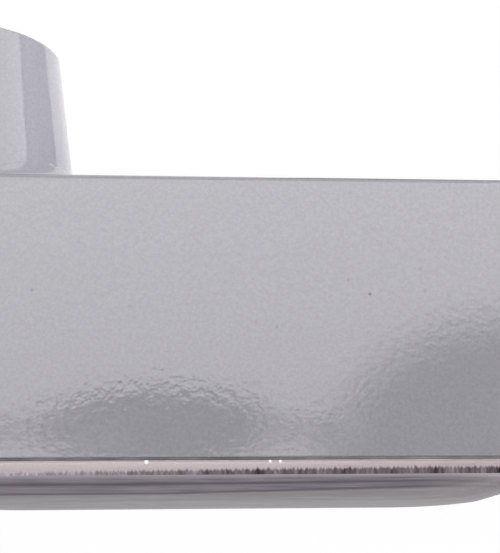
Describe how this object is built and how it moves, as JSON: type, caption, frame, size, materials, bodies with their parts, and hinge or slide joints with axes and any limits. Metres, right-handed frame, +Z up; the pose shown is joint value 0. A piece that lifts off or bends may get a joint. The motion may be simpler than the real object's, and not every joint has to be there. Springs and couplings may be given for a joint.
{
  "type": "conduit body",
  "caption": "Angled electrical conduit body: a cast metal box with tapered threaded hubs on its back and end, closed by a gasketed stamped cover held by screws, for pulling and turning wires.",
  "frame": {"origin": "middle of the bottom of the whole part's box, as it lies on its side on a surface", "axes": "+X along the box towards the end hub, +Y out of the back hub, cover facing -Y, +Z up, square to the plane that both hub axes lie in"},
  "size_m": [0.1218, 0.0582, 0.035],
  "materials": {
    "painted_casting": "grey powder coat with fine orange peel",
    "cover_sheet": "stamped sheet, mill finish, dull",
    "gasket": "thin black sheet",
    "screw_steel": "zinc plated"
  },
  "bodies": {
    "root": {"body": "painted_casting", "gasket": "gasket", "cover": "cover_sheet", "cover_screw_1": "screw_steel", "cover_screw_2": "screw_steel"}
  },
  "joints": []
}
